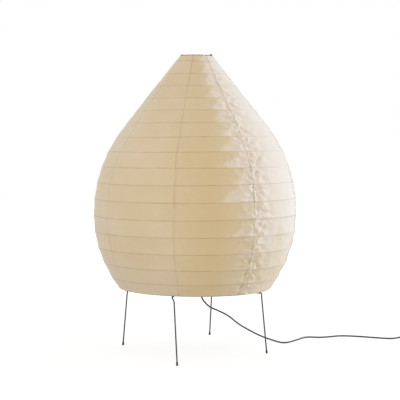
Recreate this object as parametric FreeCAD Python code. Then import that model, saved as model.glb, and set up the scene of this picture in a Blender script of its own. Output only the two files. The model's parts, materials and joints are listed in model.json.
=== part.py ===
"""Paper lantern floor lamp: a teardrop paper shade on hoops, over a crossed wire stand.

Millimetres, +Z up. The origin is on the floor, on the lamp's axis. Azimuths are in degrees,
counted from +X towards +Y, and the front of the lamp faces -Y.
"""
import FreeCAD, Part
import math
import os

Vec = FreeCAD.Vector
UP = Vec(0, 0, 1)
ORIGIN = Vec(0, 0, 0)

# ---- driving dimensions ---------------------------------------------------
# shade outline (outer face of the paper)
top_edge_z = 925.8          # height of the paper's top edge
top_edge_r = 49.5           # radius of the paper's top edge
belly_r = 318.5             # widest radius
belly_z = 434.0             # height of the widest place
upper_arc_r = 436.0         # radius of the outline above the belly
lower_arc_r = 386.0         # radius of the outline below the belly
low_edge_z = 197.8          # height of the paper's bottom edge
paper_t = 0.6               # paper, measured across the lamp's radius

# hoops and sheets of the shade
hoop_count = 16
hoop_wire_r = 1.1
first_hoop_s = 27.4         # along the outline, from the top edge to the first hoop
neck_pitch = 48.45          # spacing of the hoops of the neck, along the outline
neck_pitches = 5
last_hoop_s = 43.5          # along the outline, from the last hoop to the bottom edge
gore_count = 8
seam_azimuth = -99.8        # azimuth of the first seam
lap_deg = 1.4               # width of the glued lap of a seam
lap_root_deg = 0.3          # part of the lap that stands on its own sheet
lap_glue_t = 0.15           # glue between the lap and the sheet under it

# wire rings
top_ring_wire_r = 1.75
low_ring_wire_r = 2.0
ring_paper_gap = 0.3        # between a ring or hoop and the paper
top_ring_drop = 1.8         # the top ring's centre below the paper's top edge
low_ring_rise = 1.7         # the bottom ring's centre above the paper's bottom edge

# upright wires that carry the top ring
post_wire_r = 1.5
post_azimuths = (160.0, -20.0)
post_hook_rise = 0.7        # straight part of the hook above the top ring's centre
post_hook_drop = 5.0        # end of the hook below the top ring's centre
hook_slot_gap = 0.5         # the paper's slot around the hook

# stand
leg_wire_r = 2.2
leg_top_out = 1.2           # where a leg's straight part begins, outside the bottom ring's centre
leg_top_drop = 14.0         # and its drop under the shoulder
shoulder_out = 3.6          # corner of the shoulder that the bottom ring rests on, outside its centre
shoulder_swing = 1.5        # azimuth between the shoulder and the top of the leg
ring_seat_gap = 0.2
arm_step_start = 35.4       # the upper arms step down between these two, inside the ring
arm_step_end = 14.4
shoulder_bend = 2.8
leg_bend = 9.0
leg_end_z = 2.2             # lower end of the wire, inside its tip
# name: azimuth of the leg's top, azimuth of its foot, radius of its foot
legs = {
    "left_leg": (156.4, 165.3, 236.0),
    "right_leg": (-28.5, -16.2, 237.0),
    "front_leg": (-104.5, -99.4, 290.0),
    "back_leg": (75.6, 79.4, 282.0),
}
tip_r = 3.1
tip_length = 11.0
tip_taper = 4.0             # upper part of a tip, which narrows towards the wire
tip_lip = 0.4               # wall of a tip at its upper end

# hub
nipple_r = 5.0
nipple_bore_r = 3.2
nipple_below = 9.0          # under the lower disc
nipple_above = 20.0         # over the upper disc
disc_r = 16.0
disc_t = 7.0
wire_seat = 8.0             # depth of an arm in its disc
disc_gap = 0.3              # between the two discs
turn_gap = 0.05             # between the nipple and what turns or threads on it
nut_across = 14.0
nut_t = 4.2
washer_r = 9.0
washer_t = 1.2
stack_gap = 0.2             # around the washer, so that the upper disc turns

# bracket that holds the upright wires
bracket_w = 12.0
bracket_t = 2.5
socket_r = 3.0
socket_gap = 0.06
socket_height = 24.0
bracket_end = 5.0           # past the centre of a socket

# lampholder
holder_r = 19.5
holder_wall = 1.8
holder_cap_h = 18.0
holder_shell_h = 38.0
holder_lip = 1.4
insert_h = 16.0
insert_base_h = 8.0         # solid part of the insert, under its sleeve
insert_gap = 0.15
sleeve_r = 14.0
sleeve_wall = 0.5
sleeve_h = 22.0
contact_w = 5.0
contact_t = 0.6
contact_rise = 2.4
outlet_azimuth = 14.0       # where the cord comes down out of the cap
outlet_r = 22.0
outlet_boss_r = 5.5
outlet_boss_h = 11.0

# bulb
bulb_cap_r = 13.1
bulb_cap_h = 19.0
bulb_tip_r = 4.8
bulb_tip_face_r = 3.4
bulb_tip_h = 1.6
bulb_insulator_r = 5.8
bulb_insulator_h = 4.0
bulb_neck_r = 14.5
bulb_collar_h = 38.0
bulb_dome_r = 30.0
bulb_dome_rise = 14.0       # centre of the dome above the collar
bulb_wall = 1.2
bulb_gap = 0.3              # between the bulb's tip and the contact

# cord and what is on it
cord_r = 2.5
gland_h = 24.0
gland_top_r = 4.8
gland_low_r = 3.3
bend_share = 0.45           # share of the shorter run that a bend takes up
cord_drop_z = 173.5         # the cord's first bend, straight under the gland
# the rest of its route, from there to the switch
cord_route = (
    (25.5, 7.0, 157.0), (46.5, 16.0, 132.5), (79.0, 30.0, 118.0), (111.5, 44.0, 100.0),
    (141.5, 56.5, 72.5), (176.5, 73.5, 50.5), (213.0, 87.0, 30.0), (249.0, 102.0, 15.0),
    (284.0, 116.0, 2.55), (306.0, 122.5, 2.55), (323.0, 148.0, 2.55), (345.0, 185.0, 2.55),
    (368.0, 229.0, 2.55), (392.0, 238.0, 2.55), (415.0, 228.0, 2.55), (448.0, 239.5, 2.55),
    (492.0, 270.0, 2.55), (552.0, 259.0, 2.55), (614.0, 231.0, 2.55), (664.0, 214.5, 2.55),
    (690.0, 214.0, 9.0), (712.0, 214.0, 9.0),
)
# route from the switch to the coil
lead_route = ((772.0, 214.0, 9.0), (784.0, 214.0, 9.0), (806.0, 214.0, 3.65), (820.0, 214.0, 3.65))

switch_length = 60.0
switch_w = 24.0
switch_h = 18.0
switch_corner = 6.0
switch_wall = 2.4
rocker_length = 20.0
rocker_w = 11.0
rocker_gap = 0.3
rocker_end_gap = 1.0        # more room at the rocker's ends, for its swing
rocker_pin_r = 1.4
rocker_pin_length = 1.6
rocker_axis_drop = 3.2      # the rocker's pin under the cover's top face
rocker_rise = 3.8           # the rocker's crown above its pin's centre
rocker_crown_r = 40.0
rocker_tilt = 8.0           # the rocker rests tilted by this much

coil_outer_r = 39.1
coil_pitch = 6.4            # from one turn to the next beside it
coil_turns_in = 3           # turns of one layer
coil_layer = 5.6            # height from the lower layer to the upper one
tie_w = 9.0
tie_t = 0.8
tie_gap = 0.3

plug_length = 35.0
plug_w = 34.0
plug_nose_w = 26.0
plug_nose_length = 14.0
plug_corner = 3.0
plug_relief_length = 20.0
plug_relief_r = 5.5
plug_relief_wall = 0.7      # round the cord, where the relief begins
pin_r = 2.0
pin_length = 19.0
pin_spacing = 18.6

FULL_TURN = 360.0
OVERSIZE = 2.0              # a cutting body's size, as a multiple of what it cuts
ALONG = 0.9                 # least cosine between an edge and the axis that it follows
GAP_SAMPLES = 9             # points on each arc of the coil, to measure its gaps


# ---- helpers --------------------------------------------------------------
def polar(radius, azimuth, z):
    angle = math.radians(azimuth)
    return Vec(radius * math.cos(angle), radius * math.sin(angle), z)


def save(name, shape):
    if isinstance(shape, (list, tuple)):
        shape = Part.makeCompound(list(shape))
    shape.exportStep("parts/" + name + ".step")


def cylinder(radius, z_low, z_high, centre=ORIGIN):
    return Part.makeCylinder(radius, z_high - z_low, Vec(centre.x, centre.y, z_low), UP)


def tube(outer, inner, z_low, z_high):
    return cylinder(outer, z_low, z_high).cut(cylinder(inner, z_low, z_high))


def revolve(outline, sweep=FULL_TURN, start=0.0):
    """A closed outline of (radius, z) points, turned about the lamp's axis."""
    points = [Vec(radius, 0, z) for radius, z in outline]
    face = Part.Face(Part.makePolygon(points + points[:1]))
    face.rotate(ORIGIN, UP, start)
    return face.revolve(ORIGIN, UP, sweep)


def edges_along(solid, axis):
    """The straight edges of a block that run along an axis."""
    return [edge for edge in solid.Edges
            if abs(edge.tangentAt(edge.FirstParameter).dot(axis)) > ALONG]


def rounded_box(length, width, low, high, corner, centre):
    block = Part.makeBox(length, width, high - low, Vec(-length / 2, -width / 2, low))
    block = block.makeFillet(corner, edges_along(block, UP))
    block.translate(Vec(centre.x, centre.y, 0))
    return block


def bent_path(points, bends):
    """Straight runs through the points, joined by tangent arcs."""
    edges = []
    start = points[0]
    for before, corner, after, bend in zip(points, points[1:], points[2:], bends):
        back = (before - corner).normalize()
        ahead = (after - corner).normalize()
        half = (math.pi - back.getAngle(ahead)) / 2
        reach = bend * math.tan(half)
        arc_start = corner + back * reach
        arc_end = corner + ahead * reach
        middle = (back + ahead).normalize()
        arc_middle = corner + middle * (bend / math.cos(half) - bend)
        edges.append(Part.LineSegment(start, arc_start).toShape())
        edges.append(Part.Arc(arc_start, arc_middle, arc_end).toShape())
        start = arc_end
    edges.append(Part.LineSegment(start, points[-1]).toShape())
    return Part.Wire(edges)


def cord_bends(points):
    """The largest arc that each corner's two runs allow."""
    bends = []
    for before, corner, after in zip(points, points[1:], points[2:]):
        half = (math.pi - (before - corner).getAngle(after - corner)) / 2
        shorter = min((corner - before).Length, (after - corner).Length)
        bends.append(bend_share * shorter / math.tan(half))
    return bends


def sweep_wire(path, radius):
    """A round wire along a path that begins at the path's first vertex."""
    first = path.OrderedEdges[0]
    start = path.OrderedVertexes[0].Point
    ahead = first.tangentAt(first.FirstParameter)
    section = Part.Wire([Part.makeCircle(radius, start, ahead)])
    return path.makePipeShell([section], True, False)


# ---- shade ----------------------------------------------------------------
def shade_outline():
    """The slope of the cone, and the lengths of the outline's cone, upper arc and lower arc."""
    centre_r = belly_r - upper_arc_r
    across = top_edge_r - centre_r
    rise = top_edge_z - belly_z
    reach = math.hypot(across, rise)
    tangent_angle = math.atan2(rise, across) - math.acos(upper_arc_r / reach)
    cone_length = math.sqrt(reach ** 2 - upper_arc_r ** 2)
    low_angle = math.asin((belly_z - low_edge_z) / lower_arc_r)
    return tangent_angle, cone_length, upper_arc_r * tangent_angle, lower_arc_r * low_angle


CONE_ANGLE, CONE_LENGTH, UPPER_LENGTH, LOWER_LENGTH = shade_outline()


def outline_point(distance):
    """Radius and height of the paper's outer face, at a distance from its top edge."""
    if distance <= CONE_LENGTH:
        return (top_edge_r + distance * math.sin(CONE_ANGLE),
                top_edge_z - distance * math.cos(CONE_ANGLE))
    past_cone = distance - CONE_LENGTH
    if past_cone <= UPPER_LENGTH:
        angle = CONE_ANGLE - past_cone / upper_arc_r
        return (belly_r - upper_arc_r + upper_arc_r * math.cos(angle),
                belly_z + upper_arc_r * math.sin(angle))
    angle = (past_cone - UPPER_LENGTH) / lower_arc_r
    return (belly_r - lower_arc_r + lower_arc_r * math.cos(angle),
            belly_z - lower_arc_r * math.sin(angle))


OUTLINE_LENGTH = CONE_LENGTH + UPPER_LENGTH + LOWER_LENGTH


def hoop_points():
    """The neck's hoops at their own spacing, and the others spread evenly below them."""
    neck = first_hoop_s + neck_pitch * neck_pitches
    body_pitch = (OUTLINE_LENGTH - last_hoop_s - neck) / (hoop_count - 1 - neck_pitches)
    points = []
    distance = first_hoop_s
    for index in range(hoop_count):
        points.append(outline_point(distance))
        distance += neck_pitch if index < neck_pitches else body_pitch
    return points


HOOPS = hoop_points()
PAPER = [outline_point(0.0)] + HOOPS + [outline_point(OUTLINE_LENGTH)]
GORE_SPAN = FULL_TURN / gore_count

top_ring_z = top_edge_z - top_ring_drop
low_ring_z = low_edge_z + low_ring_rise


def paper_radius(z):
    """Radius of the paper's outer face at a height."""
    for (r_high, z_high), (r_low, z_low) in zip(PAPER, PAPER[1:]):
        if z_low <= z <= z_high:
            return r_low + (r_high - r_low) * (z - z_low) / (z_high - z_low)
    raise ValueError("outside the paper")


def paper_band(inner_offset, outer_offset, start, sweep):
    """A band of paper that is straight between the hoops."""
    outside = [(radius + outer_offset, z) for radius, z in PAPER]
    inside = [(radius + inner_offset, z) for radius, z in reversed(PAPER)]
    return revolve(outside + inside, sweep, start)


# the top ring lies against the cone's slope, the bottom ring inside the paper's edge
top_ring_r = (paper_radius(top_ring_z) - paper_t
              - (ring_paper_gap + top_ring_wire_r) / math.cos(CONE_ANGLE))
low_ring_r = PAPER[-1][0] - paper_t - ring_paper_gap - low_ring_wire_r
post_r = top_ring_r - top_ring_wire_r - ring_paper_gap - post_wire_r
hook_r = top_ring_r + top_ring_wire_r + ring_paper_gap + post_wire_r


def make_gores():
    sheet = paper_band(-paper_t, 0.0, seam_azimuth, GORE_SPAN)
    root = paper_band(0.0, lap_glue_t, seam_azimuth, lap_root_deg)
    lap = paper_band(lap_glue_t, lap_glue_t + paper_t, seam_azimuth - lap_deg,
                     lap_deg + lap_root_deg)
    gore = sheet.fuse([root, lap]).removeSplitter()
    slot_r = post_wire_r + hook_slot_gap
    slot_low = top_ring_z - post_hook_drop - hook_slot_gap
    slots = [cylinder(slot_r, slot_low, top_edge_z + slot_r, polar(hook_r, azimuth, 0))
             for azimuth in post_azimuths]
    for index in range(gore_count):
        piece = gore.copy()
        piece.rotate(ORIGIN, UP, GORE_SPAN * index)
        for azimuth, slot in zip(post_azimuths, slots):
            if 0 <= (azimuth - seam_azimuth - GORE_SPAN * index) % FULL_TURN < GORE_SPAN:
                piece = piece.cut(slot)
        save("gore_%d" % (index + 1), piece)


def facet_cosine(upper, lower):
    """Cosine of a facet's slope from the vertical, between two points of the outline."""
    down = upper[1] - lower[1]
    return down / math.hypot(lower[0] - upper[0], down)


def make_hoops():
    """Each hoop lies clear of both facets of paper that meet at it."""
    for index, (above, here, below) in enumerate(zip(PAPER, HOOPS, PAPER[2:])):
        cosine = min(facet_cosine(above, here), facet_cosine(here, below))
        centre_r = here[0] - paper_t - (ring_paper_gap + hoop_wire_r) / cosine
        hoop = Part.makeTorus(centre_r, hoop_wire_r, Vec(0, 0, here[1]))
        save("hoop_%02d" % (index + 1), hoop)


def make_rings():
    save("top_ring", Part.makeTorus(top_ring_r, top_ring_wire_r, Vec(0, 0, top_ring_z)))
    save("bottom_ring", Part.makeTorus(low_ring_r, low_ring_wire_r, Vec(0, 0, low_ring_z)))


# ---- hub heights, from the bottom up --------------------------------------
shoulder_z = low_ring_z - low_ring_wire_r - ring_seat_gap - leg_wire_r
lower_disc_low = shoulder_z - disc_t / 2
lower_disc_top = lower_disc_low + disc_t
upper_disc_low = lower_disc_top + disc_gap
upper_disc_top = upper_disc_low + disc_t
upper_arm_z = upper_disc_low + disc_t / 2
washer_low = upper_disc_top + stack_gap
bracket_low = washer_low + washer_t + stack_gap
bracket_top = bracket_low + bracket_t
nipple_low = lower_disc_low - nipple_below
nipple_top = upper_disc_top + nipple_above
cap_low = bracket_top + nut_t
cap_top = cap_low + holder_cap_h
shell_top = cap_top + holder_shell_h


def leg_corners(name, arm_z):
    top_azimuth, foot_azimuth, foot_r = legs[name]
    arm_azimuth = top_azimuth - shoulder_swing
    corners = [polar(disc_r - wire_seat, arm_azimuth, arm_z)]
    if arm_z != shoulder_z:
        corners.append(polar(low_ring_r - arm_step_start, arm_azimuth, arm_z))
        corners.append(polar(low_ring_r - arm_step_end, arm_azimuth, shoulder_z))
    corners.append(polar(low_ring_r + shoulder_out, arm_azimuth, shoulder_z))
    corners.append(polar(low_ring_r + leg_top_out, top_azimuth, shoulder_z - leg_top_drop))
    foot = polar(foot_r, foot_azimuth, 0.0)
    corners.append(foot + (corners[-1] - foot).normalize() * leg_end_z)
    bends = [leg_bend] * (len(corners) - 2)
    bends[-2] = shoulder_bend
    return corners, bends


def make_leg(name, arm_z):
    corners, bends = leg_corners(name, arm_z)
    wire = sweep_wire(bent_path(corners, bends), leg_wire_r)
    save(name, wire)
    return corners[-2], corners[-1]


def rubber_tip(knee, wire_end):
    """A tip around the end of a leg, cut flat where it meets the floor."""
    along = (knee - wire_end).normalize()
    start = wire_end - along * (OVERSIZE * leg_end_z)
    top = wire_end + along * (tip_length - leg_end_z)
    body = Part.makeCylinder(tip_r, (top - start).Length - tip_taper, start, along)
    taper = Part.makeCone(tip_r, leg_wire_r + tip_lip, tip_taper, top - along * tip_taper, along)
    bore = Part.makeCylinder(leg_wire_r, tip_length, wire_end, along)
    above_floor = cylinder(OVERSIZE * tip_length, 0.0, OVERSIZE * tip_length, wire_end)
    return body.fuse(taper).removeSplitter().cut(bore).common(above_floor)


def pivot_disc(z_low, names, arm_z, bore_r):
    disc = tube(disc_r, bore_r, z_low, z_low + disc_t)
    for name in names:
        azimuth = legs[name][0] - shoulder_swing
        inner = polar(disc_r - wire_seat, azimuth, arm_z)
        along = polar(1.0, azimuth, 0.0)
        disc = disc.cut(Part.makeCylinder(leg_wire_r, OVERSIZE * wire_seat, inner, along))
    return disc


def make_stand():
    pairs = (
        ("stand_tips", "lower_pivot_disc", ("left_leg", "right_leg"), lower_disc_low, shoulder_z),
        ("cross_tips", "upper_pivot_disc", ("front_leg", "back_leg"), upper_disc_low, upper_arm_z),
    )
    for tips_name, disc_name, names, disc_low, arm_z in pairs:
        ends = [make_leg(name, arm_z) for name in names]
        save(tips_name, [rubber_tip(knee, end) for knee, end in ends])
        save(disc_name, pivot_disc(disc_low, names, arm_z, nipple_r + turn_gap))


def hexagon(z_low, height):
    sides = 6
    radius = nut_across / 2 / math.cos(math.pi / sides)
    corners = [polar(radius, FULL_TURN / sides * index, z_low) for index in range(sides + 1)]
    block = Part.Face(Part.makePolygon(corners)).extrude(UP * height)
    return block.cut(cylinder(nipple_r + turn_gap, z_low, z_low + height))


def make_hub():
    save("threaded_nipple", tube(nipple_r, nipple_bore_r, nipple_low, nipple_top))
    save("nipple_nuts", [hexagon(lower_disc_low - nut_t, nut_t), hexagon(bracket_top, nut_t)])
    save("spring_washer", tube(washer_r, nipple_r + turn_gap, washer_low, washer_low + washer_t))


def make_bracket():
    length = 2 * (post_r + bracket_end)
    bar = Part.makeBox(length, bracket_w, bracket_t, Vec(-length / 2, -bracket_w / 2, bracket_low))
    bar = bar.cut(cylinder(nipple_r + turn_gap, bracket_low, bracket_top))
    for side in (-1, 1):
        centre = Vec(side * post_r, 0, 0)
        bar = bar.fuse(cylinder(socket_r, bracket_low, bracket_low + socket_height, centre))
        bar = bar.cut(cylinder(post_wire_r + socket_gap, bracket_top,
                               bracket_low + socket_height, centre))
    bar.rotate(ORIGIN, UP, post_azimuths[0])
    save("post_bracket", bar)


def make_posts():
    hook_top = top_ring_z + post_hook_rise
    for name, azimuth in zip(("left_post", "right_post"), post_azimuths):
        foot = polar(post_r, azimuth, bracket_top + socket_gap)
        rise = polar(post_r, azimuth, hook_top)
        crown = polar(top_ring_r, azimuth, hook_top + top_ring_r - post_r)
        fall = polar(hook_r, azimuth, hook_top)
        end = polar(hook_r, azimuth, top_ring_z - post_hook_drop)
        path = Part.Wire([
            Part.LineSegment(foot, rise).toShape(),
            Part.Arc(rise, crown, fall).toShape(),
            Part.LineSegment(fall, end).toShape(),
        ])
        save(name, sweep_wire(path, post_wire_r))


# ---- lampholder and bulb --------------------------------------------------
outlet = polar(outlet_r, outlet_azimuth, 0.0)
sleeve_low = cap_top + insert_base_h
contact_top = sleeve_low + contact_rise
bulb_low = contact_top + bulb_gap


def make_holder():
    cap = cylinder(holder_r, cap_low, cap_top)
    boss = cylinder(outlet_boss_r, cap_low, cap_low + outlet_boss_h, outlet)
    room_r = holder_r - holder_wall
    cap = cap.fuse(boss).removeSplitter()
    cap = cap.cut(cylinder(room_r, cap_low + holder_wall, cap_top))
    cap = cap.cut(cylinder(nipple_r + turn_gap, cap_low, cap_top))
    cap = cap.cut(cylinder(cord_r, cap_low, cap_low + outlet_boss_h - holder_wall, outlet))
    save("holder_cap", cap)

    shell = tube(holder_r, room_r, cap_top, shell_top)
    shell = shell.fuse(tube(holder_r + holder_lip, room_r, shell_top - holder_lip, shell_top))
    save("holder_shell", shell.removeSplitter())

    insert = cylinder(room_r - insert_gap, cap_top, sleeve_low)
    rim = tube(room_r - insert_gap, sleeve_r + turn_gap, sleeve_low, cap_top + insert_h)
    save("holder_insert", insert.fuse(rim).removeSplitter())

    save("holder_sleeve", tube(sleeve_r, sleeve_r - sleeve_wall, sleeve_low, sleeve_low + sleeve_h))

    foot = Part.makeBox(contact_w, contact_w, contact_t, Vec(-contact_w, -contact_w / 2, sleeve_low))
    riser = Part.makeBox(contact_t, contact_w, contact_rise, Vec(-contact_t, -contact_w / 2, sleeve_low))
    tongue = Part.makeBox(contact_w, contact_w, contact_t,
                          Vec(-contact_t, -contact_w / 2, contact_top - contact_t))
    save("centre_contact", foot.fuse([riser, tongue]).removeSplitter())


def make_bulb():
    cap_z = bulb_low + bulb_tip_h + bulb_insulator_h
    collar_z = cap_z + bulb_cap_h
    dome_z = collar_z + bulb_collar_h
    insulator_low = bulb_low + bulb_tip_h
    tip = revolve([(0, bulb_low), (bulb_tip_face_r, bulb_low), (bulb_tip_r, insulator_low),
                   (0, insulator_low)])
    save("bulb_tip", tip)

    cap = revolve([(0, insulator_low), (bulb_insulator_r, insulator_low), (bulb_cap_r, cap_z),
                   (bulb_cap_r, collar_z), (0, collar_z)])
    save("bulb_cap", cap)

    dome_centre = Vec(0, 0, dome_z + bulb_dome_rise)
    collar_top_r = math.sqrt(bulb_dome_r ** 2 - bulb_dome_rise ** 2)
    collar = revolve([(0, collar_z), (bulb_neck_r, collar_z), (collar_top_r, dome_z), (0, dome_z)])
    save("bulb_collar", collar)

    dome = Part.makeSphere(bulb_dome_r, dome_centre)
    hollow = Part.makeSphere(bulb_dome_r - bulb_wall, dome_centre)
    above = cylinder(OVERSIZE * bulb_dome_r, dome_z, dome_z + OVERSIZE * bulb_dome_r)
    save("bulb_diffuser", dome.common(above).cut(hollow))


# ---- cord -----------------------------------------------------------------
gland_low = cap_low - gland_h
gland_mouth = Vec(outlet.x, outlet.y, gland_low)


def make_gland():
    body = Part.makeCone(gland_low_r, gland_top_r, gland_h, gland_mouth, UP)
    save("cord_gland", body)


def report_run(name, points, path, solid):
    section = math.pi * cord_r ** 2
    bends = cord_bends(points)
    print(name, "length", round(path.Length, 1), "volume ratio",
          round(solid.Volume / (section * path.Length), 4),
          "radii", [round(bend, 1) for bend in bends], "valid", solid.isValid())


def make_cord_run(name, points):
    path = bent_path(points, cord_bends(points))
    solid = sweep_wire(path, cord_r)
    report_run(name, points, path, solid)
    save(name, solid)
    return path.Length


def coil_state(turn_angle):
    """Radius, height, and how both change with the angle, at an angle along the coil."""
    slope = coil_pitch / (2 * math.pi)
    inward = 2 * math.pi * coil_turns_in
    inner_r = coil_outer_r - coil_pitch * coil_turns_in
    if turn_angle <= inward:
        rate = -slope if turn_angle < inward else 0.0
        return coil_outer_r - slope * turn_angle, 0.0, rate, 0.0
    if turn_angle <= inward + math.pi:
        share = (turn_angle - inward) / math.pi
        climb = coil_layer * (3 * share ** 2 - 2 * share ** 3)
        climb_rate = coil_layer * 6 * (share - share ** 2) / math.pi
        return inner_r, climb, 0.0, climb_rate
    return inner_r + slope * (turn_angle - inward - math.pi), coil_layer, slope, 0.0


def coil_knots():
    """Points and directions of the coil, a quarter turn apart, wound clockwise from its start."""
    lean = math.atan(coil_pitch / (2 * math.pi * coil_outer_r))
    whole = math.pi * (4 * coil_turns_in + 1) + 2 * lean
    angles = [math.pi / 2 * index for index in range(2 * (4 * coil_turns_in + 1))] + [whole]
    knots = []
    for turn_angle in angles:
        radius, z, rate, climb = coil_state(turn_angle)
        azimuth = math.pi / 2 - turn_angle + lean
        out = Vec(math.cos(azimuth), math.sin(azimuth), 0)
        around = Vec(math.sin(azimuth), -math.cos(azimuth), 0)
        direction = (out * rate + around * radius + UP * climb).normalize()
        knots.append((out * radius + UP * z, direction))
    return knots


def biarc(start, start_way, end, end_way):
    """Two arcs that leave one point and reach another, each in its given direction."""
    gap = end - start
    both = start_way + end_way
    square = 2 * (start_way.dot(end_way) - 1)
    linear = -2 * gap.dot(both)
    constant = gap.dot(gap)
    reach = (-linear - math.sqrt(linear ** 2 - 4 * square * constant)) / (2 * square)
    first = start + start_way * reach
    last = end - end_way * reach
    joint = (first + last) / 2
    return [arc_between(start, first, joint), arc_between(joint, last, end)]


def arc_between(start, corner, end):
    """The arc from start to end whose end tangents meet at the corner."""
    chord_middle = (start + end) / 2
    toward = corner - chord_middle
    half = math.atan2(toward.Length, (end - start).Length / 2)
    sagitta = (end - start).Length / 2 * math.tan(half / 2)
    return Part.Arc(start, chord_middle + toward.normalize() * sagitta, end).toShape()


def make_coil():
    knots = coil_knots()
    shift = Vec(*lead_route[-1]) - knots[0][0]
    knots = [(point + shift, way) for point, way in knots]
    stub = 2 * cord_r
    first, first_way = knots[0]
    last, last_way = knots[-1]
    begin = first
    knots = [(point + first_way * stub, way) for point, way in knots]
    first, last = knots[0][0], knots[-1][0]
    arcs = []
    for (start, way), (end, end_way) in zip(knots, knots[1:]):
        arcs.extend(biarc(start, way, end, end_way))
    finish = last + last_way * stub
    edges = [Part.LineSegment(begin, first).toShape()]
    edges.extend(arcs)
    edges.append(Part.LineSegment(last, finish).toShape())
    path = Part.Wire(edges)
    coil = sweep_wire(path, cord_r)
    print("cord_coil length", round(path.Length, 1), "volume ratio",
          round(coil.Volume / (math.pi * cord_r ** 2 * path.Length), 4),
          "least radius", round(min(arc.Curve.Radius for arc in arcs), 2), "valid", coil.isValid())
    print("cord_coil least gap to itself", round(least_self_gap(arcs), 3))
    save("cord_coil", coil)
    centre = Vec(first.x, first.y - coil_outer_r, 0)
    return path.Length, centre, finish, last_way


def least_self_gap(arcs):
    """Least gap between parts of the coil that are over a quarter turn apart."""
    samples = []
    travelled = 0.0
    for arc in arcs:
        for point in arc.discretize(GAP_SAMPLES)[:-1]:
            samples.append((travelled, point))
        travelled += arc.Length
    apart = coil_outer_r
    least = min((one - two).Length for index, (at, one) in enumerate(samples)
                for place, two in samples[index + 1:] if place - at > apart)
    return least - 2 * cord_r


def make_tie(centre, base_z):
    """A strap around the bundle of turns, on the coil's far side."""
    inner_x = coil_outer_r - coil_pitch * coil_turns_in - cord_r - tie_gap
    outer_x = coil_outer_r + cord_r + tie_gap
    low = base_z - cord_r - tie_gap
    high = base_z + coil_layer + cord_r + tie_gap
    hole = Part.makeBox(outer_x - inner_x, 2 * tie_w, high - low, Vec(inner_x, -tie_w, low))
    strap = Part.makeBox(outer_x - inner_x + 2 * tie_t, tie_w, high - low + 2 * tie_t,
                         Vec(inner_x - tie_t, -tie_w / 2, low - tie_t))
    across = Vec(0, 1, 0)
    strap = strap.makeFillet(2 * tie_t, edges_along(strap, across))
    strap = strap.cut(hole.makeFillet(tie_t, edges_along(hole, across)))
    strap.translate(Vec(centre.x, centre.y, 0))
    save("coil_tie", strap)


def make_switch():
    centre = Vec((cord_route[-1][0] + lead_route[0][0]) / 2, cord_route[-1][1], 0)
    split = switch_h / 2
    room_length = switch_length - 2 * switch_wall
    room_w = switch_w - 2 * switch_wall
    room_corner = switch_corner - switch_wall

    base = rounded_box(switch_length, switch_w, 0, split, switch_corner, centre)
    base = base.cut(rounded_box(room_length, room_w, switch_wall, split, room_corner, centre))
    save("switch_base", base)

    cover = rounded_box(switch_length, switch_w, split, switch_h, switch_corner, centre)
    cover = cover.cut(rounded_box(room_length, room_w, split, switch_h - switch_wall, room_corner,
                                  centre))
    frame_length = rocker_length + 2 * (rocker_gap + switch_wall)
    frame_w = rocker_w + 2 * (rocker_gap + switch_wall)
    frame_low = split + switch_wall / 2
    frame_corner = centre + Vec(-frame_length / 2, -frame_w / 2, frame_low)
    cover = cover.fuse(Part.makeBox(frame_length, frame_w, switch_h - switch_wall / 2 - frame_low,
                                    frame_corner))
    window_length = rocker_length + 2 * rocker_gap
    window_w = rocker_w + 2 * rocker_gap
    window_corner = centre + Vec(-window_length / 2, -window_w / 2, 0)
    cover = cover.cut(Part.makeBox(window_length, window_w, OVERSIZE * switch_h, window_corner))
    axis_z = switch_h - rocker_axis_drop
    pin_reach = rocker_w / 2 + rocker_pin_length
    hole = Part.makeCylinder(rocker_pin_r + turn_gap, 2 * (pin_reach + rocker_gap),
                             centre + Vec(0, -pin_reach - rocker_gap, axis_z), Vec(0, 1, 0))
    save("switch_cover", cover.cut(hole).removeSplitter())

    crown_centre = centre + Vec(0, -rocker_w / 2, axis_z + rocker_rise - rocker_crown_r)
    crown = Part.makeCylinder(rocker_crown_r, rocker_w, crown_centre, Vec(0, 1, 0))
    block_length = rocker_length - 2 * rocker_end_gap
    block = Part.makeBox(block_length, rocker_w, rocker_pin_r + rocker_rise,
                         centre + Vec(-block_length / 2, -rocker_w / 2, axis_z - rocker_pin_r))
    rocker = block.common(crown)
    rocker = rocker.fuse(Part.makeCylinder(rocker_pin_r, 2 * pin_reach,
                                           centre + Vec(0, -pin_reach, axis_z), Vec(0, 1, 0)))
    rocker.rotate(centre + UP * axis_z, Vec(0, 1, 0), rocker_tilt)
    save("switch_rocker", rocker.removeSplitter())


def make_plug(start, way):
    """A flat plug with two round pins, lying on the floor at the cord's end."""
    thickness = 2 * start.z
    outline = [(0, -plug_nose_w / 2), (plug_nose_length, -plug_w / 2), (plug_length, -plug_w / 2),
               (plug_length, plug_w / 2), (plug_nose_length, plug_w / 2), (0, plug_nose_w / 2)]
    points = [Vec(plug_relief_length + x, y, 0) for x, y in outline]
    body = Part.Face(Part.makePolygon(points + points[:1])).extrude(UP * thickness)
    body = body.makeFillet(plug_corner, edges_along(body, UP))
    relief = Part.makeCone(cord_r + plug_relief_wall, plug_relief_r, plug_relief_length,
                           Vec(0, 0, start.z), Vec(1, 0, 0))
    body = body.fuse(relief).removeSplitter()
    pins = []
    face_x = plug_relief_length + plug_length
    for side in (-1, 1):
        foot = Vec(face_x, side * pin_spacing / 2, start.z)
        pin = Part.makeCylinder(pin_r, pin_length, foot, Vec(1, 0, 0))
        tip = Part.makeSphere(pin_r, foot + Vec(pin_length, 0, 0))
        pins.append(pin.fuse(tip).removeSplitter())
    heading = math.degrees(math.atan2(way.y, way.x))
    for shape in [body] + pins:
        shape.rotate(ORIGIN, UP, heading)
        shape.translate(Vec(start.x, start.y, 0))
    save("plug_body", body)
    save("plug_pins", pins)


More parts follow.
